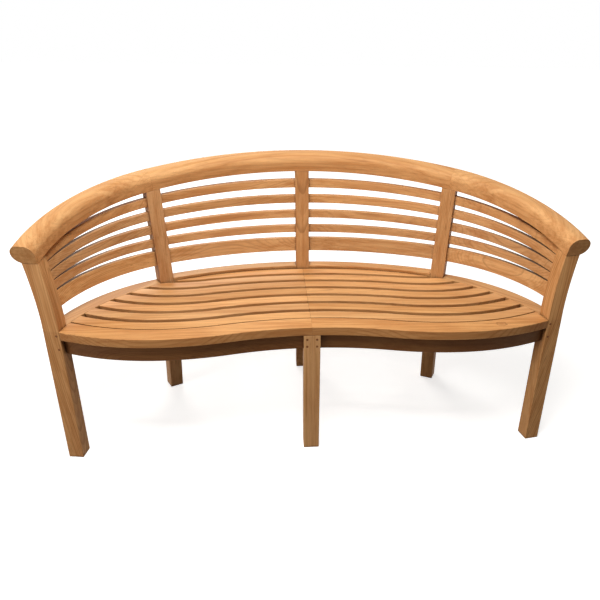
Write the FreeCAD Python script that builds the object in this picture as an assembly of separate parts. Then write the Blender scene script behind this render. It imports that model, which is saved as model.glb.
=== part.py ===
"""Curved three-seat garden bench in teak.

Millimetres, +Z up. Seen from the front, +X runs to the right and -Y towards the
viewer. The origin is on the ground, under the middle of the bench's bounding box.

The plan is laid out from the back line: the inner lower edge of the top rail.
It is an arc behind the sitter with a tighter arc at each side, and it lies in
one plane that slopes down from the middle of the back to the two arms. The
seat's front edge is laid out from the inner front corners of the end posts.
"""
import FreeCAD
import Part
import math
import os

Vector = FreeCAD.Vector

# Heights: the seat, and the rail's underside above it at the back and at the arms
seat_height = 435.0
back_rise = 334.0
arm_rise = 190.0

# Back line, measured in the sloping plane of the top rail
back_radius = 990.0
side_radius = 498.0
back_turn = 28.9
end_turn = 81.3
end_lead = 18.0

# Posts and legs
post_width = 46.0
post_depth = 46.0
back_lean = 5.6
rear_splay = 40.0
knee_height = 330.0
arm_flare = 27.0
arm_rake = 23.0
end_leg_splay = 7.0
end_leg_rake = 14.0
rear_splay_steps = 4
rear_splay_power = 1.4
end_leg_steps = 3
arm_flare_steps = 7
arm_flare_power = 1.6
post_overrun = 60.0
leg_width = 49.0

# Top rail section: upright inside, rolled over at the top, with a full nose outside
rail_width = 66.5
rail_height = 53.0
rail_crown_width = 43.0
rail_roll_radius = 25.0
post_tenon = 20.0
post_tenon_height = 20.0

# Back slats: narrow ones over a wide one, closer together at the arms
slat_count = 4
back_slat_thick = 16.0
back_slat_height = 24.5
wide_slat_height = 46.0
slat_setback = 11.0
slat_tenon = 12.0

# Gaps under the rail, between the narrow slats and over the wide one: middle, arm
rail_gap = (33.0, 3.3)
slat_gap = (26.2, 1.8)
wide_slat_gap = (20.2, 4.0)

# Seat front edge: hollow in the middle, full at each side
corner_setback = 1.0
front_hollow_radius = 990.0
front_full_radius = 840.0
front_side_radius = 667.0
front_swing = 13.7
front_side_turn = 40.0

# Seat pieces
seat_slats = 7
board_width = 62.0
board_thick = 27.0
seat_slat_width = 43.0
front_slat_gap = 5.0
rear_slat_gap = 4.6
seat_slat_thick = 20.0
rear_board_rise = 10.0
rear_board_bulge = 9.0
apron_thick = 22.0
apron_height = 49.0
apron_setback = 15.0
apron_tenon_thick = 12.0
apron_tenon_height = 34.0
apron_tenon_depth = 18.0
rear_apron_height = 60.0
rear_tongue_setback = 1.5
rear_tongue_thick = 8.0
rear_tongue_depth = 10.0
bearer_width = 32.0
bearer_height = 50.0
bearer_tenon = 12.0
side_bearer_x = 330.0
board_round = 2.0

# Pegs and screws
peg_diameter = 7.0
peg_length = 32.0
peg_inset = 10.0
peg_proud = 0.5
leg_peg_pitch = 23.0
end_peg_drop = 4.0
screw_diameter = 5.0
screw_head = 9.0
screw_head_height = 4.0
screw_bore_depth = 12.0
screw_grip = 13.0
screw_offset = 9.0

line_depth = (back_radius * (1 - math.cos(math.radians(back_turn)))
              + side_radius * (math.cos(math.radians(back_turn)) - math.cos(math.radians(end_turn)))
              + end_lead * math.sin(math.radians(end_turn)))
tilt = math.asin((back_rise - arm_rise) / line_depth)
rail_tilt = math.degrees(tilt)
back_height = seat_height + back_rise
seat_under = seat_height - seat_slat_thick
board_under = seat_height - board_thick
apron_middle = board_under - apron_height / 2
rail_up = Vector(0, -math.sin(tilt), math.cos(tilt))
X_AXIS = Vector(1, 0, 0)
Z_AXIS = Vector(0, 0, 1)


def in_rail_plane(across, back):
    """A point of the sloping rail plane, from the middle of the back line."""
    return Vector(across, back * math.cos(tilt), back_height + back * math.sin(tilt))


def back_line(turn):
    """Point of the back line where it has turned by this many degrees."""
    angle = math.radians(min(turn, end_turn))
    corner = math.radians(back_turn)
    if angle <= corner:
        return in_rail_plane(back_radius * math.sin(angle), back_radius * (math.cos(angle) - 1))
    across = back_radius * math.sin(corner) + side_radius * (math.sin(angle) - math.sin(corner))
    back = back_radius * (math.cos(corner) - 1) + side_radius * (math.cos(angle) - math.cos(corner))
    return in_rail_plane(across, back)


def flat(vector):
    return Vector(vector.x, vector.y, 0)


def directions(turn):
    """Level unit vectors at a turn: outwards, and on along the back line to the arm."""
    angle = math.radians(turn)
    along = flat(in_rail_plane(math.cos(angle), -math.sin(angle)))
    along.normalize()
    return Vector(-along.y, along.x, 0), along


class Station:
    """A place on the back line where a post stands."""

    def __init__(self, turn, lead, inset, advance, span):
        self.outward, self.along = directions(turn)
        angle = math.radians(turn)
        self.top = back_line(turn) + (in_rail_plane(math.cos(angle), -math.sin(angle))
                                      - in_rail_plane(0, 0)) * lead
        seat = flat(self.top) - self.outward * inset + self.along * advance
        self.seat = seat + Z_AXIS * seat_height
        self.span = span

    def at_seat(self, out, along=0.0):
        return self.seat + self.outward * out + self.along * along

    def at_rail(self, out, along=0.0):
        plan = flat(self.top) + self.outward * out + self.along * along
        return plan + Z_AXIS * rail_plane_height(plan.y)


def rail_plane_height(y):
    return back_height + y * math.tan(tilt)


def seat_inset(turn):
    """How far the back leans out between the seat and the rail."""
    if turn > back_turn:
        share = (turn - back_turn) / (end_turn - back_turn)
        return seat_inset(back_turn) * (1 - share) + arm_flare * share
    return (back_line(turn).z - seat_height) * math.tan(math.radians(back_lean))


half = post_width / 2
middle = Station(0.0, 0.0, seat_inset(0.0), 0.0, (-half, half))
corner = Station(back_turn, 0.0, seat_inset(back_turn), 0.0, (-half, half))
end = Station(end_turn, end_lead, arm_flare, arm_rake, (-post_width, 0.0))


def mid_seat(turn, out):
    outward, _ = directions(turn)
    return flat(back_line(turn)) + outward * (out - seat_inset(turn)) + Z_AXIS * seat_height


def mid_rail(turn, out):
    outward, _ = directions(turn)
    plan = flat(back_line(turn)) + outward * out
    return plan + Z_AXIS * rail_plane_height(plan.y)


def mirrored(shape):
    return shape.mirror(Vector(0, 0, 0), X_AXIS)


def arc(first, through, last):
    return Part.Arc(first, through, last).toShape()


def strip_wire(inner, outer):
    """Closed wire between two arcs, each given as start, middle and end point."""
    edges = [arc(*inner),
             Part.makeLine(inner[2], outer[2]),
             arc(outer[2], outer[1], outer[0]),
             Part.makeLine(outer[0], inner[0])]
    return Part.Wire(edges)


def raised(wire, low, high):
    """Upright prism of a wire drawn at seat height."""
    face = Part.Face(wire)
    face.translate(Z_AXIS * (low - seat_height))
    return face.extrude(Z_AXIS * (high - low))


def block(centre, outward, along, size, base):
    """Box with its bottom at base, centred in plan, turned to the two directions."""
    depth, width, height = size
    corners = []
    for out_sign, along_sign in ((-1, -1), (1, -1), (1, 1), (-1, 1)):
        plan = centre + outward * (out_sign * depth / 2) + along * (along_sign * width / 2)
        corners.append(Vector(plan.x, plan.y, base))
    return Part.Face(Part.makePolygon(corners + corners[:1])).extrude(Z_AXIS * height)


# Posts

def above_rail_plane():
    size = 4 * back_radius
    box = Part.makeBox(size, size, size, Vector(-size / 2, -size / 2, 0))
    box.rotate(Vector(0, 0, 0), X_AXIS, rail_tilt)
    box.translate(Vector(0, 0, back_height))
    return box


def back_post_offsets(station):
    """Sections of a back post: height, offset outwards, offset along."""
    lean = math.tan(math.radians(back_lean))
    sections = []
    for step in range(rear_splay_steps + 1):
        share = step / rear_splay_steps
        sections.append((knee_height * share, rear_splay * (1 - share) ** rear_splay_power, 0.0))
    sections.append((seat_height, 0.0, 0.0))
    reach = station.top.z + post_overrun - seat_height
    sections.append((seat_height + reach, reach * lean, 0.0))
    return sections


def end_post_offsets(station):
    """Sections of an end post, which flares out into the arm."""
    sections = []
    for step in range(end_leg_steps):
        rest = 1 - step / end_leg_steps
        sections.append((seat_height * (1 - rest), end_leg_splay * rest, end_leg_rake * rest))
    reach = station.top.z - seat_height
    shares = [step / arm_flare_steps for step in range(arm_flare_steps + 1)]
    for share in shares + [1 + post_overrun / reach]:
        sections.append((seat_height + reach * share,
                         arm_flare * share ** arm_flare_power, -arm_rake * share))
    return sections


def post(station, sections):
    wires = []
    for height, out, along in sections:
        start = station.at_seat(out, along)
        start.z = height
        corners = [start + station.along * station.span[0],
                   start + station.along * station.span[1]]
        corners += [corners[1] + station.outward * post_depth,
                    corners[0] + station.outward * post_depth]
        wires.append(Part.makePolygon(corners + corners[:1]))
    body = Part.makeLoft(wires, True, True).cut(above_rail_plane())
    return body.fuse(rail_tenon(station)).removeSplitter()


def rail_tenon(station):
    """Square tenon that stands on the post and goes up into the rail."""
    centre = station.at_rail(post_depth / 2, sum(station.span) / 2)
    tenon = Part.makeBox(post_tenon, post_tenon, post_tenon_height + post_tenon,
                         Vector(-post_tenon / 2, -post_tenon / 2, -post_tenon))
    turn = math.degrees(math.atan2(station.along.y, station.along.x))
    tenon.rotate(Vector(0, 0, 0), Z_AXIS, turn)
    tenon.rotate(Vector(0, 0, 0), X_AXIS, rail_tilt)
    tenon.translate(centre)
    return tenon


# Top rail

def rail_section(turn):
    """Section of the rail: flat on the posts, nose outside, rolled over the inner side."""
    angle = math.radians(turn)
    outward = in_rail_plane(math.sin(angle), math.cos(angle)) - in_rail_plane(0, 0)
    origin = back_line(turn)

    def at(out, up):
        return origin + outward * out + rail_up * up

    nose_top = at(rail_crown_width, rail_height)
    roll_top = at(rail_roll_radius, rail_height)
    roll_foot = at(0, rail_height - rail_roll_radius)
    roll_share = 1 - math.sqrt(0.5)
    roll_middle = at(rail_roll_radius * roll_share, rail_height - rail_roll_radius * roll_share)
    edges = [Part.makeLine(at(0, 0), at(post_depth, 0)),
             arc(at(post_depth, 0), at(rail_width, rail_height / 2), nose_top),
             Part.makeLine(nose_top, roll_top),
             arc(roll_top, roll_middle, roll_foot),
             Part.makeLine(roll_foot, at(0, 0))]
    return Part.Face(Part.Wire(edges))


def arc_centre(turn, radius):
    angle = math.radians(turn)
    outward = in_rail_plane(math.sin(angle), math.cos(angle)) - in_rail_plane(0, 0)
    return back_line(turn) - outward * radius


def middle_rail():
    section = rail_section(back_turn)
    return section.revolve(arc_centre(back_turn, back_radius), rail_up, 2 * back_turn)


def side_rail():
    start = rail_section(end_turn)
    centre = arc_centre(back_turn, side_radius)
    curved = start.revolve(centre, rail_up, end_turn - back_turn)
    angle = math.radians(end_turn)
    ahead = in_rail_plane(math.cos(angle), -math.sin(angle)) - in_rail_plane(0, 0)
    return curved.fuse(start.extrude(ahead * end_lead)).removeSplitter()


# Back slats

def back_wall(first, last, turn, first_along, last_along):
    """The leaning curved sheet that one bay's slats are sliced from."""
    wires = []
    for level in ("seat", "rail"):
        sides = []
        for out in (slat_setback, slat_setback + back_slat_thick):
            if level == "seat":
                sides.append((first.at_seat(out, first_along), mid_seat(turn, out),
                              last.at_seat(out, last_along)))
            else:
                sides.append((first.at_rail(out, first_along), mid_rail(turn, out),
                              last.at_rail(out, last_along)))
        wires.append(strip_wire(*sides))
    return Part.makeLoft(wires, True, True)


def slat_drops(place):
    """Depth of each slat's middle below the rail, from the top: place 0 is middle, 1 is arm."""
    first = rail_gap[place] + back_slat_height / 2
    drops = [first + step * (back_slat_height + slat_gap[place]) for step in range(slat_count)]
    drops.append(drops[-1] + (back_slat_height + wide_slat_height) / 2 + wide_slat_gap[place])
    return drops


def slat_slab(at_middle, at_end, height):
    """Sloping slab between two heights that slices one slat from the sheet."""
    far = middle.at_rail(slat_setback)
    near = end.at_rail(slat_setback, -post_width)
    slope = math.atan2((far.z - at_middle) - (near.z - at_end), far.y - near.y)
    size = 4 * back_radius
    slab = Part.makeBox(size, size, height, Vector(-size / 2, -size / 2, -height / 2))
    slab.rotate(Vector(0, 0, 0), X_AXIS, math.degrees(slope))
    slab.translate(Vector(0, far.y, far.z - at_middle))
    return slab


def bay_slats(wall):
    heights = [back_slat_height] * slat_count + [wide_slat_height]
    return [wall.common(slat_slab(*level)) for level in zip(slat_drops(0), slat_drops(1), heights)]


# Seat

swing = math.radians(front_swing)
swing_way = Vector(math.sin(swing), math.cos(swing), 0)
full_across = (front_hollow_radius + front_full_radius) * math.sin(swing)
corner_reach = math.sqrt((front_side_radius - corner_setback) ** 2 - (end.seat.x - full_across) ** 2)
side_centre = Vector(full_across, end.seat.y + corner_reach, seat_height)
full_centre = side_centre - Vector(0, front_side_radius - front_full_radius, 0)
turn_point = full_centre - swing_way * front_full_radius
hollow_centre = turn_point - swing_way * front_hollow_radius
front_y = hollow_centre.y + front_hollow_radius
seat_reach = -front_y
seat_room = middle.seat.y - front_y - board_width - front_slat_gap - rear_slat_gap
seat_slat_gap = (seat_room - seat_slats * seat_slat_width) / (seat_slats - 1)
half_circle = 180.0


def front_arc(centre, radius, first, last):
    """Arc about a centre, from one direction to another, in degrees from straight back."""
    points = []
    for angle in (first, (first + last) / 2, last):
        points.append(centre + Vector(math.sin(math.radians(angle)),
                                      math.cos(math.radians(angle)), 0) * radius)
    return points


def front_edges(depth):
    """Right half of a line that runs this far behind the seat's front edge."""
    return [front_arc(hollow_centre, front_hollow_radius + depth, 0, front_swing),
            front_arc(full_centre, front_full_radius - depth, half_circle + front_swing, half_circle),
            front_arc(side_centre, front_side_radius - depth, half_circle,
                      half_circle - front_side_turn)]


def front_band(near, far, low, high):
    """Right half of a band that follows the front edge."""
    ahead = front_edges(near)
    behind = front_edges(far)
    edges = [arc(*points) for points in ahead]
    edges.append(Part.makeLine(ahead[-1][2], behind[-1][2]))
    edges += [arc(*points[::-1]) for points in behind[::-1]]
    edges.append(Part.makeLine(behind[0][0], ahead[0][0]))
    return raised(Part.Wire(edges), low, high)


def rounded_front(band, radius):
    """Round the two long edges of a band that lie on the seat's front edge."""
    front = Part.Compound([arc(*points) for points in front_edges(0)])
    edges = []
    for edge in band.Edges:
        ends = [vertex.Point for vertex in edge.Vertexes]
        level = all(abs(point.z - ends[0].z) < 0.001 for point in ends)
        on_front = all(front.distToShape(Part.Vertex(point.x, point.y, seat_height))[0] < 0.001
                       for point in ends)
        if level and on_front:
            edges.append(edge)
    return band.makeFillet(radius, edges)


def front_line_y(across, depth):
    """Y of that line beside the middle of the seat, in its hollow or its full part."""
    if across < turn_point.x + depth * math.sin(swing):
        radius = front_hollow_radius + depth
        return hollow_centre.y + math.sqrt(radius ** 2 - across ** 2)
    radius = front_full_radius - depth
    return full_centre.y - math.sqrt(radius ** 2 - (across - full_centre.x) ** 2)


side_turn = (back_turn + end_turn) / 2
half_back_turn = back_turn / 2


def back_bay_points(out, reach=0.0):
    """Arc at seat height between the middle and corner posts, from face to face."""
    return [middle.at_seat(out, half - reach), mid_seat(half_back_turn, out),
            corner.at_seat(out, reach - half)]


def side_bay_points(out, bulge, reach=0.0):
    """Arc at seat height between the corner and end posts, from face to face."""
    return [corner.at_seat(out, half - reach), mid_seat(side_turn, out - bulge),
            end.at_seat(out, reach - post_width)]


def seat_field(inset, side, low, high):
    """Right half of the seat inside its rear boards and the posts."""
    back = back_bay_points(-inset)
    side_bay = side_bay_points(-inset, rear_board_bulge)
    ahead = end.at_seat(side, seat_reach)
    start = Vector(0, ahead.y - seat_reach, seat_height)
    rear = middle.at_seat(-inset)
    corners = [side_bay[2], end.at_seat(side, -post_width), ahead, start, rear, back[0]]
    edges = [arc(*back), Part.makeLine(back[2], side_bay[0]), arc(*side_bay)]
    edges += [Part.makeLine(a, b) for a, b in zip(corners, corners[1:])
              if a.distanceToPoint(b) > 0.001]
    return raised(Part.Wire(edges), low, high)


def side_bay_arc(out, reach=0.0):
    return side_bay_points(out, rear_board_bulge, reach)


def rear_apron(bay_points, low):
    """Upright board under the rear edge of the seat, with a tongue into each post."""
    board = raised(strip_wire(bay_points(-apron_thick / 2), bay_points(apron_thick / 2)),
                   low, seat_under)
    inner = rear_tongue_setback
    outer = inner + rear_tongue_thick
    tongue_low = low + (rear_apron_height - apron_tenon_height) / 2
    tongue = raised(strip_wire(bay_points(inner, rear_tongue_depth),
                               bay_points(outer, rear_tongue_depth)),
                    tongue_low, tongue_low + apron_tenon_height)
    return board.fuse(tongue).removeSplitter()


def seat_slat_depth(index):
    """Distance from the front edge to the near edge of a slat, counted from the back."""
    pitch = seat_slat_width + seat_slat_gap
    return board_width + front_slat_gap + (seat_slats - 1 - index) * pitch


def screw_feet():
    """Where each screw starts: in the bearers, below each slat but the short rear one."""
    feet = []
    bottom = seat_under - bearer_height + screw_bore_depth
    for across, first in ((screw_offset, 0), (side_bearer_x, 1)):
        for index in range(first, seat_slats):
            y = front_line_y(across, seat_slat_depth(index) + seat_slat_width / 2)
            feet.append(Vector(across, y, bottom))
    return feet


def all_screws():
    """Screws that come up through the bearers, one into each slat that crosses."""
    screws = []
    for foot in screw_feet():
        shank = Part.makeCylinder(screw_diameter / 2, seat_under + screw_grip - foot.z, foot)
        head = Part.makeCylinder(screw_head / 2, screw_head_height, foot - Z_AXIS * screw_head_height)
        screws.append(shank.fuse(head).removeSplitter())
    return screws


def screw_bores():
    """Counterbores below the screw heads."""
    return [Part.makeCylinder(screw_head / 2, screw_bore_depth, foot - Z_AXIS * screw_bore_depth)
            for foot in screw_feet()]


def end_pegs():
    pegs = []
    for height in (seat_height - board_thick / 2, apron_middle - end_peg_drop):
        lean = end_leg_rake * (1 - height / seat_height)
        face = end.at_seat(peg_inset, lean + peg_proud)
        face.z = height
        pegs.append(Part.makeCylinder(peg_diameter / 2, peg_length, face, end.along * -1))
    return pegs


def leg_pegs():
    pegs = []
    for height in (apron_middle + leg_peg_pitch / 2, apron_middle - leg_peg_pitch / 2):
        face = Vector(leg_width / 2 - peg_inset, front_y - peg_proud, height)
        pegs.append(Part.makeCylinder(peg_diameter / 2, peg_length, face, Vector(0, 1, 0)))
    return pegs


def build():
    nodes = {}

    # Posts as sawn, before their mortises
    post_middle = post(middle, back_post_offsets(middle))
    post_corner = post(corner, back_post_offsets(corner))
    post_end = post(end, end_post_offsets(end))

    # Back slats, one list for each bay of the right half
    back_bay = bay_slats(back_wall(middle, corner, half_back_turn,
                                   half - slat_tenon, -half + slat_tenon))
    side_bay = bay_slats(back_wall(corner, end, side_turn,
                                   half - slat_tenon, -post_width + slat_tenon))

    # Rails with the sockets for the post tenons
    tenons = [rail_tenon(middle), rail_tenon(corner), mirrored(rail_tenon(corner))]
    nodes["top_rail_middle"] = middle_rail().cut(tenons)
    rail_right = side_rail().cut([rail_tenon(corner), rail_tenon(end)])

    # Front leg with its stub tenon under the front boards
    leg_centre = Vector(0, front_y + post_depth / 2, 0)
    outward, along = Vector(0, 1, 0), X_AXIS
    leg = block(leg_centre, outward, along, (post_depth, leg_width, board_under), 0)
    stub = block(leg_centre, outward, along, (post_tenon, post_tenon, board_thick / 2), board_under)
    leg = leg.fuse(stub).removeSplitter()

    # Front board and front apron, right halves
    pegs_right = end_pegs() + leg_pegs()
    posts = [post_corner, post_end]
    board = rounded_front(front_band(0, board_width, board_under, seat_height), board_round)
    board = board.common(seat_field(0, 0, board_under, seat_height)).cut([stub] + posts)
    apron_low = board_under - apron_height
    apron_far = apron_setback + apron_thick
    apron = front_band(apron_setback, apron_far, apron_low, board_under)
    apron = apron.common(seat_field(0, 0, apron_low, board_under)).cut([leg] + posts)
    tongue_near = apron_setback + (apron_thick - apron_tenon_thick) / 2
    tongue_low = apron_low + (apron_height - apron_tenon_height) / 2
    tongue_high = tongue_low + apron_tenon_height
    tongue = front_band(tongue_near, tongue_near + apron_tenon_thick, tongue_low, tongue_high)
    tongue = tongue.common(seat_field(0, apron_tenon_depth, tongue_low, tongue_high))
    leg_side = Part.makeBox(seat_reach * 4, seat_reach * 4, seat_height,
                            Vector(leg_width / 2 - apron_tenon_depth, front_y - seat_reach, 0))
    tongue = tongue.common(leg_side)
    apron = apron.fuse(tongue).removeSplitter().cut(pegs_right)

    # Rear aprons and rear boards, right halves
    rear_low = seat_under - rear_apron_height
    back_apron = rear_apron(back_bay_points, rear_low)
    side_apron = rear_apron(side_bay_arc, rear_low).cut(board)
    back_board = raised(strip_wire(back_bay_points(0), back_bay_points(post_depth)),
                        seat_under, seat_height + rear_board_rise)
    side_board = raised(strip_wire(side_bay_points(0, rear_board_bulge),
                                   side_bay_points(post_depth, 0)), seat_under, seat_height)

    # Bearers that carry the slats
    bearer_low = seat_under - bearer_height
    inside = seat_field(apron_thick / 2, 0, bearer_low, seat_under)
    reach = Part.makeBox(bearer_width / 2, seat_reach * 2, bearer_height,
                         Vector(0, front_y + post_depth, bearer_low))
    half_bearer = reach.common(inside).cut(board)
    bearer_key = block(leg_centre + Vector(0, post_depth / 2, 0), outward, along,
                       (2 * bearer_tenon, apron_tenon_thick, apron_tenon_height), tongue_low)
    side_reach = Part.makeBox(bearer_width, seat_reach * 2, bearer_height,
                              Vector(side_bearer_x - bearer_width / 2, front_y - seat_reach, bearer_low))
    behind_apron = front_band(apron_far, seat_reach, bearer_low, seat_under)
    screws = all_screws()
    drills = screws + screw_bores()
    side_bearer = side_reach.common(behind_apron).common(inside).cut(board).cut(drills)
    middle_bearer = half_bearer.fuse([mirrored(half_bearer), bearer_key]).removeSplitter()
    middle_bearer = middle_bearer.cut(drills + [mirrored(drill) for drill in drills])

    # Seat slats, right halves, counted from the back
    slats = []
    field = seat_field(0, 0, seat_under, seat_height)
    for index in range(seat_slats):
        near = seat_slat_depth(index)
        slat = front_band(near, near + seat_slat_width, seat_under, seat_height)
        slats.append(slat.common(field).cut(posts + screws))

    # Mortises
    into_middle = back_bay + [back_apron]
    nodes["back_post_middle"] = post_middle.cut(into_middle + [mirrored(piece) for piece in into_middle])
    corner_post = post_corner.cut(back_bay + side_bay + [back_apron, side_apron])
    end_post = post_end.cut(side_bay + [apron, side_apron] + end_pegs())
    nodes["front_leg"] = leg.cut([apron, mirrored(apron), bearer_key]
                                 + leg_pegs() + [mirrored(peg) for peg in leg_pegs()])
    nodes["bearer_middle"] = middle_bearer

    # The right half's pieces, then the same pieces mirrored for the left
    right = {"end_post": end_post, "back_post": corner_post, "top_rail": rail_right,
             "front_board": board, "front_apron": apron,
             "rear_apron_back": back_apron, "rear_apron_side": side_apron,
             "rear_board_back": back_board, "rear_board_side": side_board,
             "bearer_side": side_bearer}
    for index in range(seat_slats):
        right["seat_slat_%d" % (index + 1)] = slats[index]
    for index in range(len(back_bay)):
        right["back_slat_back_%d" % (index + 1)] = back_bay[index]
        right["back_slat_side_%d" % (index + 1)] = side_bay[index]
    for name, shape in right.items():
        nodes[name + "_right"] = shape
        nodes[name + "_left"] = mirrored(shape)

    nodes["pegs"] = Part.makeCompound(pegs_right + [mirrored(peg) for peg in pegs_right])
    nodes["seat_screws"] = Part.makeCompound(screws + [mirrored(screw) for screw in screws])
    return nodes


def export(nodes):
    """Centre the bench on its bounding box in depth and write one file for each node."""
    os.makedirs("parts", exist_ok=True)
    box = Part.makeCompound(list(nodes.values())).optimalBoundingBox(False, False)
    shift = Vector(0, -(box.YMin + box.YMax) / 2, 0)
    for name, shape in sorted(nodes.items()):
        shape.translate(shift)
        shape.exportStep("parts/%s.step" % name)
        print(name, len(shape.Solids), shape.isValid(), round(shape.Volume / 1000, 1))
    print("size", round(box.XLength, 1), round(box.YLength, 1), round(box.ZLength, 1),
          "nodes", len(nodes))


export(build())
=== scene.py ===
"""Finish, light and camera for the curved teak bench.

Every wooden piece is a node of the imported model. Its long arrises are rounded with modifiers,
and it gets a material of its own from one shared wood group: rings, fibres and pores in three
dimensions. The grain is laid along the piece's own length, and bent along the top rail, so that
sides, edges and end grain agree.
"""

import math
import random

import bpy
import numpy as np
from mathutils import Matrix, Vector

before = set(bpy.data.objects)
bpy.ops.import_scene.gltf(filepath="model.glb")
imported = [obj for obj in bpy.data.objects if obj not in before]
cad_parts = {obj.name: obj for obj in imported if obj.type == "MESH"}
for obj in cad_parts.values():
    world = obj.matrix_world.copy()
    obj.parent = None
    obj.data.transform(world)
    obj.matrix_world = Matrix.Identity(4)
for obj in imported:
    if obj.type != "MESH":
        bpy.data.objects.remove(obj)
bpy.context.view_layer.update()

# Photograph: side, focal length and optical centre in pixels
PHOTO_SIDE = 600.0
FOCAL = 562.87
OPTICAL_CENTRE = (319.65, 356.19)

# Camera: place in metres, turns in radians, sensor width in millimetres
CAMERA_PLACE = (-0.1125, -1.7116, 1.1566)
CAMERA_YAW = -0.0927
CAMERA_PITCH = 0.5113
CAMERA_ROLL = 0.0166
SENSOR = 36.0

# Lamps: place, target and sides in metres, watts, colour
LAMPS = {
    "overhead": ((-0.2, -0.85, 2.2), (0.0, 0.0, 0.45), (0.9, 0.9), 39.0, (1.0, 0.985, 0.96)),
    "left_fill": ((-2.6, -1.6, 1.2), (0.0, 0.0, 0.5), (1.2, 1.2), 26.0, (1.0, 0.96, 0.90)),
    "rear_fill": ((-0.9, 3.2, 2.0), (0.0, 0.0, 0.5), (2.0, 1.5), 55.0, (1.0, 0.97, 0.93)),
}

# Even fill from the world, and the white that the camera, gloss and glass see instead
FILL_COLOUR = (1.0, 0.95, 0.88, 1.0)
FILL_STRENGTH = 0.148
WHITE = (1.0, 1.0, 1.0, 1.0)
WHITE_STRENGTH = 1.0

# Floor: half its side and its depth under the feet, its colour in bounced light and as it is seen
FLOOR_HALF = 30.0
FLOOR_DEPTH = 0.0005
FLOOR_DULL = (0.16, 0.14, 0.12, 1.0)
FLOOR_PALE = (0.85, 0.85, 0.85, 1.0)

# Glow of the floor: under the bench, what is added far from it, and where that starts and ends
GLOW_NEAR = 0.64
GLOW_ADDED = 0.36
GLOW_LIMITS = (1.2, 2.8)

# Colours, linear
TEAK_LIGHT = (0.80, 0.435, 0.190)
TEAK_MID = (0.60, 0.275, 0.102)
TEAK_DARK = (0.23, 0.082, 0.024)
KNOT_BROWN = (0.30, 0.105, 0.030)
# Brown of the painted shade in narrow gaps and beside joints
SHADE_BROWN = (0.060, 0.021, 0.007)
PEG_BROWN = (0.12, 0.048, 0.020)
STEEL_GREY = (0.58, 0.57, 0.55)
STEEL_DARK = (0.42, 0.41, 0.39)

# Width of the rounded arrises in metres, by the first words of the node's name
ARRIS = {
    "end_post": 0.0016,
    "back_post": 0.0014,
    "front_leg": 0.0014,
    "top_rail": 0.0004,
    "back_slat": 0.0016,
    "seat_slat": 0.0019,
    "rear_board": 0.0018,
    "front_board": 0.0007,
    "front_apron": 0.0014,
    "rear_apron": 0.0014,
    "bearer": 0.0014,
    "pegs": 0.0005,
    "seat_screws": 0.0004,
}
ARRIS_STEPS = 3

# Edges are rounded where they are sharp and longer than the steps of a small circle
SHARP_ANGLE = math.radians(38)
SHORT_EDGE = 0.0035
WELD_DISTANCE = 0.00002

# Tone of each family: brightness, how strongly the rings show, and a tint
TONE = {
    "end_post": (0.79, 0.70, (1.0, 0.95, 0.84)),
    "back_post": (0.71, 0.55, (1.0, 0.97, 0.93)),
    "front_leg": (0.80, 0.40, (1.0, 1.03, 1.08)),
    "top_rail": (0.93, 0.20, (1.0, 0.98, 0.89)),
    "back_slat_back_5": (0.83, 0.45, (1.0, 1.03, 1.03)),
    "back_slat_side_5": (0.87, 0.52, (1.0, 1.01, 0.95)),
    "back_slat": (0.77, 0.42, (1.0, 0.98, 0.94)),
    "seat_slat": (1.00, 0.44, (1.0, 1.01, 0.94)),
    "rear_board": (0.87, 0.40, (1.0, 1.00, 0.92)),
    "front_board": (1.01, 0.70, (1.0, 0.94, 0.78)),
    # Under the seat, front_apron, rear_apron and bearer are darker partly as their own wood and
    # partly as painted shade; the front apron's low brightness is mostly painted shade from the
    # board above it
    "front_apron": (0.23, 0.40, (1.0, 0.78, 0.56)),
    "rear_apron": (0.55, 0.40, (1.0, 0.88, 0.74)),
    "bearer": (0.62, 0.40, (1.0, 0.88, 0.74)),
}

# Families whose halves come from one board and share its tone and grain
MATCHED = ("top_rail", "front_board")

# What chance gives each piece: factors on its tone, and how much its warmth takes off green and blue
BRIGHTNESS_SPREAD = (0.92, 1.08)
RING_STRENGTH_SPREAD = (0.75, 1.15)
WARMTH_GREEN = 0.025
WARMTH_BLUE = 0.08

# And its place in the log: width of a year and distance of the pith in metres, shift along the
# grain, and lean in radians
RING_SPACING = (0.0032, 0.0060)
PITH_DISTANCE = (0.05, 0.13)
PITH_SHIFT = (-3.0, 3.0)
LEAN = (-0.05, 0.05)

# Noises in the wood: scale per metre along and across the grain, detail, roughness
NOISES = {
    "slow_bend": (1.3, 5.0, 1.0, 0.50),
    "fine_bend": (6.0, 40.0, 2.0, 0.50),
    "fibre": (20.0, 1100.0, 3.0, 0.60),
    "streak": (2.4, 120.0, 3.0, 0.55),
    "band": (1.4, 38.0, 2.0, 0.50),
    "mottle": (5.0, 14.0, 2.0, 0.50),
    "vein": (1.8, 210.0, 1.0, 0.50),
    "fleck": (12.0, 420.0, 1.0, 0.50),
    "pore": (60.0, 1500.0, 1.0, 0.50),
}

# How far the bends move the year rings, in metres
RING_BENDS = {"slow_bend": 0.040, "fine_bend": 0.0022}

# Shares of a year where the late wood darkens, where it ends, and where the pores fade out
LATE_WOOD = (0.42, 0.92)
YEAR_END = (0.92, 1.00)
OPEN_PORES = (0.60, 0.05)

# Strength of a year's ring: the least, and the most that chance adds
YEAR_LEAST = 0.15
YEAR_ADDED = 0.85

# Noise values where the dark marks start and where they are full
MARK_LIMITS = {"vein": (0.66, 0.80), "fleck": (0.60, 0.78), "pore": (0.64, 0.74)}

# Share of dark teak in each part of the wood, in the order in which they are laid on
DARK_SHARES = {"ring": 0.90, "vein": 0.42, "fleck": 0.26, "pore": 0.45, "end_grain": 0.10}

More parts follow.
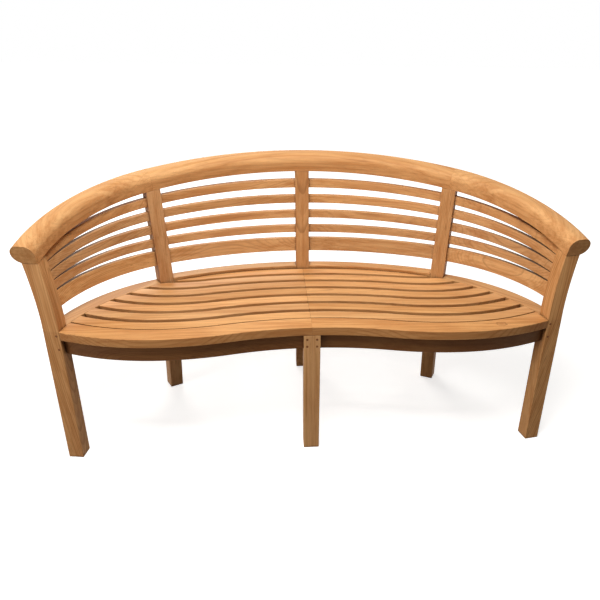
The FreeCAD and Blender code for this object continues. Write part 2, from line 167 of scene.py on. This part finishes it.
# Sums over the parts of the wood: what each starts from, and the weight of each part
TONE_SUM = (0.0, {"streak": 0.80, "band": 0.70, "mottle": 0.35})
LIGHT_SUM = (0.78, {"fibre": 0.44})
ROUGHNESS_SUM = (0.46, {"fibre": 0.22, "ring": 0.08, "end_grain": 0.15})
HEIGHT_SUM = (0.0, {"fibre": 0.50, "pore": -0.60, "ring": -0.25})

# Tone sums where light teak ends and where middle teak starts
TONE_LIMITS = (0.71, 1.15)

# Share of the normal along the grain where end grain starts and where it is full
END_GRAIN_LIMITS = (0.75, 0.93)

# Painted shade: share of dark teak on the upright sides of the seat's boards, which get less of the
# light from above than their tops, and how upright they start and are full
SHADED_SIDES = {"front_board": 0.46, "seat_slat": 0.50, "rear_board": 0.30}
SHADED_SIDE_LIMITS = (0.80, 0.40)

# Knots: node, place on its surface in metres, radius
KNOTS = {
    "front_board_right": [((0.560, -0.268, 0.435), 0.010), ((0.531, -0.241, 0.435), 0.006)],
}

# Every knot: stretch of its oval, scale of its wobble per metre, limits of its eye and of both
# sides of its rim in radii, and the shares of their colours
KNOT_STRETCH = (0.8, 1.0, 0.35)
KNOT_WOBBLE = (90.0, 90.0, 90.0)
KNOT_EYE = (1.0, 0.35)
KNOT_RIM_OUTSIDE = (1.5, 1.15)
KNOT_RIM_INSIDE = (0.75, 1.05)
KNOT_EYE_SHARE = 0.35
KNOT_RIM_SHARE = 0.50

# Worn arrises: reach in metres, limits of the bevelled normal, patches and their limits, share of
# light teak, and what they add to the roughness
WORN_REACH = 0.0025
WORN_LIMITS = (0.995, 0.86)
WORN_PATCHES = (30.0, 30.0, 30.0)
WORN_PATCH_LIMITS = (0.35, 0.65)
WORN_SHARE = 0.175
WORN_ROUGHNESS = 0.08

# Painted shade in narrow gaps and beside joints: reach in metres, limits of the open sky that a
# point sees, share of its brown
SHADE_REACH = 0.016
SHADE_LIMITS = (0.80, 0.38)
SHADE_SHARE = 0.82

# Gloss, and strength and depth of the relief in metres
TEAK_SPECULAR = 0.16
TEAK_RELIEF = (0.35, 0.0006)
PEG_SPECULAR = 0.25
PEG_RELIEF = (0.4, 0.0004)

# Pegs and screws: scale of their noise per metre, and roughness, least and added
PEG_DOTS = (900.0, 200.0, 900.0)
PEG_DOT_LIMITS = (0.35, 0.65)
PEG_ROUGHNESS = (0.5, 0.3)
STEEL_LINES = (300.0, 300.0, 4000.0)
STEEL_ROUGHNESS = (0.22, 0.25)


def family(table, name):
    """The entry of a table whose key starts the node's name."""
    for key, value in table.items():
        if name.startswith(key):
            return value
    return None


# Node trees

def add(tree, kind, **settings):
    node = tree.nodes.new(kind)
    for key, value in settings.items():
        setattr(node, key, value)
    return node


def feed(tree, node, name, value):
    """Link an output to an input, or set the input to a constant."""
    if isinstance(value, bpy.types.NodeSocket):
        tree.links.new(value, node.inputs[name])
    else:
        node.inputs[name].default_value = value


def maths(tree, operation, first, second=0.0, third=0.0):
    node = add(tree, "ShaderNodeMath", operation=operation)
    feed(tree, node, 0, first)
    feed(tree, node, 1, second)
    feed(tree, node, 2, third)
    return node.outputs[0]


def vector_maths(tree, operation, first, second=(0.0, 0.0, 0.0)):
    node = add(tree, "ShaderNodeVectorMath", operation=operation)
    feed(tree, node, 0, first)
    feed(tree, node, 1, second)
    return node


def split(tree, vector):
    node = add(tree, "ShaderNodeSeparateXYZ")
    feed(tree, node, 0, vector)
    return node.outputs


def noise(tree, vector, stretch, detail=2.0, roughness=0.5):
    """Noise value of a point, with its own scale along each of the three axes."""
    node = add(tree, "ShaderNodeTexNoise", noise_dimensions="3D")
    feed(tree, node, "Vector", vector_maths(tree, "MULTIPLY", vector, stretch).outputs[0])
    feed(tree, node, "Scale", 1.0)
    feed(tree, node, "Detail", detail)
    feed(tree, node, "Roughness", roughness)
    return node.outputs[0]


def ramp(tree, value, low, high):
    """Smooth step of a value from 0 at low to 1 at high."""
    node = add(tree, "ShaderNodeMapRange", interpolation_type="SMOOTHSTEP")
    feed(tree, node, "Value", value)
    feed(tree, node, "From Min", low)
    feed(tree, node, "From Max", high)
    return node.outputs[0]


def weighted(tree, parts, base, weights):
    """Base plus each named part times its weight."""
    for name, weight in weights.items():
        base = maths(tree, "MULTIPLY_ADD", parts[name], weight, base)
    return base


def blend(tree, share, first, second):
    node = add(tree, "ShaderNodeMix", data_type="RGBA", blend_type="MIX")
    feed(tree, node, 0, share)
    for index, value in ((6, first), (7, second)):
        if isinstance(value, bpy.types.NodeSocket):
            tree.links.new(value, node.inputs[index])
        else:
            node.inputs[index].default_value = (*value, 1.0)
    return node.outputs[2]


def lay_on(tree, colour, paint, mask, share):
    """Lay a share of paint over a colour where the mask is on."""
    return blend(tree, maths(tree, "MULTIPLY", mask, share), colour, paint)


# Wood

def year_rings(tree, point, noises, spacing, strength):
    """Dark late wood of the year rings, and the share of its year that a point has reached.

    A year is told by the distance from the pith, bent by slow noise that runs out slowly along
    the grain.
    """
    axes = split(tree, point)
    squares = [maths(tree, "POWER", axes[index], 2.0) for index in (1, 2)]
    distance = maths(tree, "SQRT", maths(tree, "ADD", *squares))
    bends = {name: maths(tree, "SUBTRACT", noises[name], 0.5) for name in RING_BENDS}
    years = maths(tree, "DIVIDE", weighted(tree, bends, distance, RING_BENDS), spacing)
    season = maths(tree, "FRACT", years)
    chance = add(tree, "ShaderNodeTexWhiteNoise", noise_dimensions="1D")
    feed(tree, chance, "W", maths(tree, "FLOOR", years))
    year_strength = maths(tree, "MULTIPLY_ADD", chance.outputs[0], YEAR_ADDED, YEAR_LEAST)
    before_end = maths(tree, "SUBTRACT", 1.0, ramp(tree, season, *YEAR_END))
    late = maths(tree, "MULTIPLY", ramp(tree, season, *LATE_WOOD), before_end)
    ring = maths(tree, "MULTIPLY", maths(tree, "MULTIPLY", late, year_strength), strength)
    return ring, season


def wood_group():
    """Group that turns a point in grain coordinates into colour, roughness and height.

    X runs along the grain and the pith lies on the X axis.
    """
    group = bpy.data.node_groups.new("teak_grain", "ShaderNodeTree")
    face = group.interface
    for name in ("Point", "Tint"):
        face.new_socket(name, in_out="INPUT", socket_type="NodeSocketVector")
    for name in ("Ring Spacing", "Ring Strength", "Brightness", "End Grain"):
        face.new_socket(name, in_out="INPUT", socket_type="NodeSocketFloat")
    face.new_socket("Color", in_out="OUTPUT", socket_type="NodeSocketColor")
    for name in ("Roughness", "Height"):
        face.new_socket(name, in_out="OUTPUT", socket_type="NodeSocketFloat")
    entry = add(group, "NodeGroupInput").outputs
    leave = add(group, "NodeGroupOutput")

    parts = {"end_grain": entry["End Grain"]}
    for name, (along, across, detail, roughness) in NOISES.items():
        stretch = (along, across, across)
        parts[name] = noise(group, entry["Point"], stretch, detail, roughness)
    parts["ring"], season = year_rings(group, entry["Point"], parts, entry["Ring Spacing"],
                                       entry["Ring Strength"])
    for name, limits in MARK_LIMITS.items():
        parts[name] = ramp(group, parts[name], *limits)
    parts["pore"] = maths(group, "MULTIPLY", parts["pore"], ramp(group, season, *OPEN_PORES))

    tone = ramp(group, weighted(group, parts, *TONE_SUM), *TONE_LIMITS)
    colour = blend(group, tone, TEAK_LIGHT, TEAK_MID)
    for name, share in DARK_SHARES.items():
        colour = lay_on(group, colour, TEAK_DARK, parts[name], share)
    light = maths(group, "MULTIPLY", weighted(group, parts, *LIGHT_SUM), entry["Brightness"])
    lit = vector_maths(group, "SCALE", colour)
    feed(group, lit, "Scale", light)
    tinted = vector_maths(group, "MULTIPLY", lit.outputs[0], entry["Tint"])
    feed(group, leave, "Color", tinted.outputs[0])
    feed(group, leave, "Roughness", weighted(group, parts, *ROUGHNESS_SUM))
    feed(group, leave, "Height", weighted(group, parts, *HEIGHT_SUM))
    return group


def main_directions(obj):
    """Rotation that lays the piece's longest direction on X and its flattest on Z, its middle
    and its corners."""
    points = np.array([corner.co for corner in obj.data.vertices])
    middle = (points.min(0) + points.max(0)) / 2
    spread = np.linalg.svd(points - points.mean(0), full_matrices=False)[2]
    along = Vector(spread[0].tolist()).normalized()
    flat = Vector(spread[2].tolist()).normalized()
    if max(along, key=abs) < 0:
        along = -along
    if flat.z < 0:
        flat = -flat
    return Matrix((along, flat.cross(along), flat)), Vector(middle.tolist()), points


def arc_of(rotation, points):
    """Centre and radius of the circle that a bent piece follows, and its side of the centre."""
    local = points @ np.array(rotation).T
    rows = np.column_stack((2 * local[:, :2], np.ones(len(local))))
    a, b, c = np.linalg.lstsq(rows, (local[:, :2] ** 2).sum(1), rcond=None)[0]
    side = 1.0 if local[:, 1].mean() > b else -1.0
    return Vector((a, b, local[:, 2].mean())), math.sqrt(c + a * a + b * b), side


def around_arc(tree, point, normal, radius, side):
    """Point measured along an arc and out from it, and the share of the normal along the arc."""
    part = split(tree, point)
    angle = maths(tree, "ARCTAN2", part[0], maths(tree, "MULTIPLY", part[1], side))
    flat = vector_maths(tree, "MULTIPLY", point, (1.0, 1.0, 0.0)).outputs[0]
    out = vector_maths(tree, "LENGTH", flat).outputs["Value"]
    join = add(tree, "ShaderNodeCombineXYZ")
    feed(tree, join, 0, maths(tree, "MULTIPLY", angle, radius))
    feed(tree, join, 1, maths(tree, "SUBTRACT", out, radius))
    feed(tree, join, 2, part[2])
    crosswise = maths(tree, "MULTIPLY", normal[1], maths(tree, "SINE", angle))
    crosswise = maths(tree, "MULTIPLY", crosswise, -side)
    lengthwise = maths(tree, "MULTIPLY_ADD", normal[0], maths(tree, "COSINE", angle), crosswise)
    return join.outputs[0], lengthwise


def grain_point(tree, obj, place, chance, bent):
    """Point in grain coordinates and share of end grain, straight or bent around an arc."""
    rotation, middle, points = main_directions(obj)
    pith_angle = chance.uniform(0, 2 * math.pi)
    pith_distance = chance.uniform(*PITH_DISTANCE)
    pith = Vector((chance.uniform(*PITH_SHIFT), pith_distance * math.cos(pith_angle),
                   pith_distance * math.sin(pith_angle)))
    lean = Matrix.Rotation(chance.uniform(*LEAN), 3, "Y")
    lean = lean @ Matrix.Rotation(chance.uniform(*LEAN), 3, "Z")
    turned = rotation if bent else lean @ rotation
    centre, radius, side = arc_of(rotation, points) if bent else (turned @ middle, 0.0, 1.0)
    local = add(tree, "ShaderNodeMapping", vector_type="POINT")
    feed(tree, local, "Vector", place.outputs["Object"])
    feed(tree, local, "Rotation", turned.to_euler())
    feed(tree, local, "Location", -centre)
    facing = add(tree, "ShaderNodeMapping", vector_type="VECTOR")
    feed(tree, facing, "Vector", place.outputs["Normal"])
    feed(tree, facing, "Rotation", turned.to_euler())
    point = local.outputs[0]
    normal = split(tree, facing.outputs[0])
    lengthwise = normal[0]
    if bent:
        point, lengthwise = around_arc(tree, point, normal, radius, side)
    point = vector_maths(tree, "ADD", point, pith).outputs[0]
    end_grain = ramp(tree, maths(tree, "ABSOLUTE", lengthwise), *END_GRAIN_LIMITS)
    return point, end_grain


def knot_marks(tree, point, colour, knots):
    """Small oval knots: a brown eye with a dark rim."""
    for place, radius in knots:
        away = vector_maths(tree, "SUBTRACT", point, place).outputs[0]
        away = vector_maths(tree, "MULTIPLY", away, KNOT_STRETCH).outputs[0]
        distance = vector_maths(tree, "LENGTH", away).outputs["Value"]
        wobble = maths(tree, "SUBTRACT", noise(tree, point, KNOT_WOBBLE), 0.5)
        radii = maths(tree, "ADD", maths(tree, "DIVIDE", distance, radius), wobble)
        eye = ramp(tree, radii, *KNOT_EYE)
        rim = maths(tree, "MULTIPLY", ramp(tree, radii, *KNOT_RIM_OUTSIDE),
                    ramp(tree, radii, *KNOT_RIM_INSIDE))
        colour = lay_on(tree, colour, KNOT_BROWN, eye, KNOT_EYE_SHARE)
        colour = lay_on(tree, colour, TEAK_DARK, rim, KNOT_RIM_SHARE)
    return colour


def shaded_sides(tree, place, colour, share):
    """Painted shade: darker colour on the upright sides of a flat board, which get less of the light
    from above.
    """
    upward = maths(tree, "ABSOLUTE", split(tree, place.outputs["Normal"])[2])
    return lay_on(tree, colour, TEAK_DARK, ramp(tree, upward, *SHADED_SIDE_LIMITS), share)


def worn_arrises(tree, place, colour):
    """Handled arrises: a little paler than the faces beside them."""
    bevel = add(tree, "ShaderNodeBevel", samples=4)
    feed(tree, bevel, "Radius", WORN_REACH)
    normal = add(tree, "ShaderNodeNewGeometry").outputs["Normal"]
    same = vector_maths(tree, "DOT_PRODUCT", bevel.outputs[0], normal).outputs["Value"]
    patches = ramp(tree, noise(tree, place.outputs["Object"], WORN_PATCHES), *WORN_PATCH_LIMITS)
    worn = maths(tree, "MULTIPLY", ramp(tree, same, *WORN_LIMITS), patches)
    return lay_on(tree, colour, TEAK_LIGHT, worn, WORN_SHARE), worn


def painted_shade(tree, colour):
    """Painted shade: darker colour in narrow gaps and beside joints, where little light reaches."""
    shade = add(tree, "ShaderNodeAmbientOcclusion", samples=6)
    feed(tree, shade, "Distance", SHADE_REACH)
    shade_mask = ramp(tree, shade.outputs["AO"], *SHADE_LIMITS)
    return lay_on(tree, colour, SHADE_BROWN, shade_mask, SHADE_SHARE)


# Materials

def new_material(name):
    material = bpy.data.materials.new(name)
    material.use_nodes = True
    return material, material.node_tree, material.node_tree.nodes["Principled BSDF"]


def relief(tree, shader, height, strength, depth):
    bump = add(tree, "ShaderNodeBump")
    feed(tree, bump, "Strength", strength)
    feed(tree, bump, "Distance", depth)
    feed(tree, bump, "Height", height)
    feed(tree, shader, "Normal", bump.outputs[0])


def teak(name, obj, group):
    """Material of one wooden piece, with its own place in the log."""
    chance = random.Random(name.rsplit("_", 1)[0] if name.startswith(MATCHED) else name)
    bright, strength, (red, green, blue) = family(TONE, name)
    warmth = chance.uniform(-1.0, 1.0)
    tint = (red, green * (1 - WARMTH_GREEN * warmth), blue * (1 - WARMTH_BLUE * warmth))
    material, tree, shader = new_material("teak_" + name)
    place = add(tree, "ShaderNodeTexCoord")
    point, end_grain = grain_point(tree, obj, place, chance, name.startswith("top_rail"))
    wood = add(tree, "ShaderNodeGroup", node_tree=group)
    feed(tree, wood, "Point", point)
    feed(tree, wood, "Ring Spacing", chance.uniform(*RING_SPACING))
    feed(tree, wood, "Ring Strength", strength * chance.uniform(*RING_STRENGTH_SPREAD))
    feed(tree, wood, "Brightness", bright * chance.uniform(*BRIGHTNESS_SPREAD))
    feed(tree, wood, "Tint", tint)
    feed(tree, wood, "End Grain", end_grain)
    colour = wood.outputs["Color"]
    colour = knot_marks(tree, place.outputs["Object"], colour, KNOTS.get(name, []))
    # Painted shade on the upright sides of the seat's boards
    if family(SHADED_SIDES, name):
        colour = shaded_sides(tree, place, colour, family(SHADED_SIDES, name))
    colour, worn = worn_arrises(tree, place, colour)
    roughness = maths(tree, "MULTIPLY_ADD", worn, WORN_ROUGHNESS, wood.outputs["Roughness"])
    # Painted shade in gaps and beside joints goes into the base colour
    feed(tree, shader, "Base Color", painted_shade(tree, colour))
    feed(tree, shader, "Roughness", roughness)
    feed(tree, shader, "Specular IOR Level", TEAK_SPECULAR)
    relief(tree, shader, wood.outputs["Height"], *TEAK_RELIEF)
    return material


def peg_material():
    """End grain of the pegs: dark, with small dots."""
    material, tree, shader = new_material("peg_end_grain")
    place = add(tree, "ShaderNodeTexCoord").outputs["Object"]
    dots = noise(tree, place, PEG_DOTS, 3.0)
    least, added = PEG_ROUGHNESS
    colour = blend(tree, ramp(tree, dots, *PEG_DOT_LIMITS), PEG_BROWN, KNOT_BROWN)
    feed(tree, shader, "Base Color", colour)
    feed(tree, shader, "Roughness", maths(tree, "MULTIPLY_ADD", dots, added, least))
    feed(tree, shader, "Specular IOR Level", PEG_SPECULAR)
    relief(tree, shader, dots, *PEG_RELIEF)
    return material


def steel_material():
    """Turned stainless steel of the screws."""
    material, tree, shader = new_material("screw_steel")
    place = add(tree, "ShaderNodeTexCoord").outputs["Object"]
    lines = noise(tree, place, STEEL_LINES)
    least, added = STEEL_ROUGHNESS
    feed(tree, shader, "Metallic", 1.0)
    feed(tree, shader, "Base Color", blend(tree, lines, STEEL_GREY, STEEL_DARK))
    feed(tree, shader, "Roughness", maths(tree, "MULTIPLY_ADD", lines, added, least))
    return material


# Pieces

def long_arrises():
    """Modifier group that marks the long sharp edges to round, and keeps short ones crisp.

    The short ones are the steps of peg holes and other small circles.
    """
    group = bpy.data.node_groups.new("long_arrises", "GeometryNodeTree")
    for way in ("INPUT", "OUTPUT"):
        group.interface.new_socket("Geometry", in_out=way, socket_type="NodeSocketGeometry")
    entry = add(group, "NodeGroupInput")
    leave = add(group, "NodeGroupOutput")
    angle = add(group, "GeometryNodeInputMeshEdgeAngle")
    ends = add(group, "GeometryNodeInputMeshEdgeVertices").outputs
    length = vector_maths(group, "DISTANCE", ends["Position 1"], ends["Position 2"])
    sharp = maths(group, "GREATER_THAN", angle.outputs["Unsigned Angle"], SHARP_ANGLE)
    long = maths(group, "GREATER_THAN", length.outputs["Value"], SHORT_EDGE)
    rounded = add(group, "GeometryNodeStoreNamedAttribute", data_type="FLOAT", domain="EDGE")
    feed(group, rounded, "Geometry", entry.outputs[0])
    feed(group, rounded, "Name", "bevel_weight_edge")
    feed(group, rounded, "Value", maths(group, "MULTIPLY", sharp, long))
    crisp = add(group, "GeometryNodeStoreNamedAttribute", data_type="BOOLEAN", domain="EDGE")
    feed(group, crisp, "Geometry", rounded.outputs[0])
    feed(group, crisp, "Name", "sharp_edge")
    feed(group, crisp, "Value", maths(group, "SUBTRACT", sharp, long))
    feed(group, leave, 0, crisp.outputs[0])
    return group


def soften(obj, width, marks):
    """Join the faces at their shared corners, then round the sharp arrises.

    With marks, only the long ones are rounded.
    """
    weld = obj.modifiers.new("weld", "WELD")
    weld.merge_threshold = WELD_DISTANCE
    if marks:
        mark = obj.modifiers.new("mark", "NODES")
        mark.node_group = marks
    bevel = obj.modifiers.new("arris", "BEVEL")
    bevel.width = width
    bevel.segments = ARRIS_STEPS
    bevel.limit_method = "WEIGHT" if marks else "ANGLE"
    bevel.angle_limit = SHARP_ANGLE
    bevel.use_clamp_overlap = False
    normals = obj.modifiers.new("normals", "WEIGHTED_NORMAL")
    normals.keep_sharp = True


def wear(obj, material):
    obj.data.materials.clear()
    obj.data.materials.append(material)


def dress_bench():
    group = wood_group()
    marks = long_arrises()
    fasteners = {"pegs": peg_material, "seat_screws": steel_material}
    for name, obj in sorted(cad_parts.items()):
        if name in fasteners:
            soften(obj, family(ARRIS, name), None)
            wear(obj, fasteners[name]())
        else:
            soften(obj, family(ARRIS, name), marks)
            wear(obj, teak(name, obj, group))


# Setting

def add_camera():
    """Camera of the photograph: place, turn, focal length and optical centre."""
    camera = bpy.data.objects.new("camera", bpy.data.cameras.new("camera"))
    bpy.context.scene.collection.objects.link(camera)
    level = Vector((math.cos(CAMERA_YAW), math.sin(CAMERA_YAW), 0))
    ahead = Vector((-math.sin(CAMERA_YAW) * math.cos(CAMERA_PITCH),
                    math.cos(CAMERA_YAW) * math.cos(CAMERA_PITCH), -math.sin(CAMERA_PITCH)))
    over = level.cross(ahead)
    right = level * math.cos(CAMERA_ROLL) + over * math.sin(CAMERA_ROLL)
    up = over * math.cos(CAMERA_ROLL) - level * math.sin(CAMERA_ROLL)
    turn = Matrix((right, up, -ahead)).transposed()
    camera.matrix_world = Matrix.Translation(CAMERA_PLACE) @ turn.to_4x4()
    camera.data.sensor_width = SENSOR
    camera.data.lens = FOCAL / PHOTO_SIDE * SENSOR
    camera.data.shift_x = (PHOTO_SIDE / 2 - OPTICAL_CENTRE[0]) / PHOTO_SIDE
    camera.data.shift_y = (OPTICAL_CENTRE[1] - PHOTO_SIDE / 2) / PHOTO_SIDE
    bpy.context.scene.camera = camera


def area_light(name, place, target, size, watts, colour):
    light = bpy.data.lights.new(name, "AREA")
    light.shape = "RECTANGLE"
    light.size, light.size_y = size
    light.energy = watts
    light.color = colour
    obj = bpy.data.objects.new(name, light)
    obj.location = place
    aim = Vector(target) - Vector(place)
    obj.rotation_euler = aim.to_track_quat("-Z", "Y").to_euler()
    obj.visible_camera = False
    bpy.context.scene.collection.objects.link(obj)


def add_lights():
    """A soft box close above and a little in front, and fills from the front left and behind."""
    for name, lamp in LAMPS.items():
        area_light(name, *lamp)


def show_background(tree, output, plain, seen):
    """End a tree with one shader for the light, and one for rays that see the background itself:
    camera, gloss and glass."""
    path = add(tree, "ShaderNodeLightPath").outputs
    direct = maths(tree, "MAXIMUM", path["Is Camera Ray"], path["Is Glossy Ray"])
    direct = maths(tree, "MAXIMUM", direct, path["Is Transmission Ray"])
    mix = add(tree, "ShaderNodeMixShader")
    feed(tree, mix, 0, direct)
    feed(tree, mix, 1, plain.outputs[0])
    feed(tree, mix, 2, seen.outputs[0])
    feed(tree, add(tree, output), 0, mix.outputs[0])


def background_world():
    """White where it is seen, and a dim even fill otherwise."""
    world = bpy.data.worlds.new("studio")
    bpy.context.scene.world = world
    world.use_nodes = True
    tree = world.node_tree
    tree.nodes.clear()
    fill = add(tree, "ShaderNodeBackground")
    feed(tree, fill, "Color", FILL_COLOUR)
    feed(tree, fill, "Strength", FILL_STRENGTH)
    white = add(tree, "ShaderNodeBackground")
    feed(tree, white, "Color", WHITE)
    feed(tree, white, "Strength", WHITE_STRENGTH)
    show_background(tree, "ShaderNodeOutputWorld", fill, white)


def floor_material():
    """White where it is seen, with the bench's shadow, and dull for bounced light."""
    material = bpy.data.materials.new("floor")
    material.use_nodes = True
    tree = material.node_tree
    tree.nodes.clear()
    dull = add(tree, "ShaderNodeBsdfDiffuse")
    feed(tree, dull, "Color", FLOOR_DULL)
    pale = add(tree, "ShaderNodeBsdfDiffuse")
    feed(tree, pale, "Color", FLOOR_PALE)
    place = add(tree, "ShaderNodeTexCoord").outputs["Object"]
    away = vector_maths(tree, "LENGTH", place).outputs["Value"]
    far = ramp(tree, away, *GLOW_LIMITS)
    glow = add(tree, "ShaderNodeEmission")
    feed(tree, glow, "Strength", maths(tree, "MULTIPLY_ADD", far, GLOW_ADDED, GLOW_NEAR))
    lit = add(tree, "ShaderNodeAddShader")
    feed(tree, lit, 0, pale.outputs[0])
    feed(tree, lit, 1, glow.outputs[0])
    show_background(tree, "ShaderNodeOutputMaterial", dull, lit)
    return material


def add_floor():
    """Pale floor that keeps the bench's shadow."""
    mesh = bpy.data.meshes.new("floor")
    signs = ((-1, -1), (1, -1), (1, 1), (-1, 1))
    corners = [(FLOOR_HALF * x, FLOOR_HALF * y, 0) for x, y in signs]
    mesh.from_pydata(corners, [], [(0, 1, 2, 3)])
    floor = bpy.data.objects.new("floor", mesh)
    floor.location.z = -FLOOR_DEPTH
    bpy.context.scene.collection.objects.link(floor)
    mesh.materials.append(floor_material())


dress_bench()
add_camera()
add_lights()
background_world()
add_floor()
bpy.context.scene.view_settings.view_transform = "Standard"
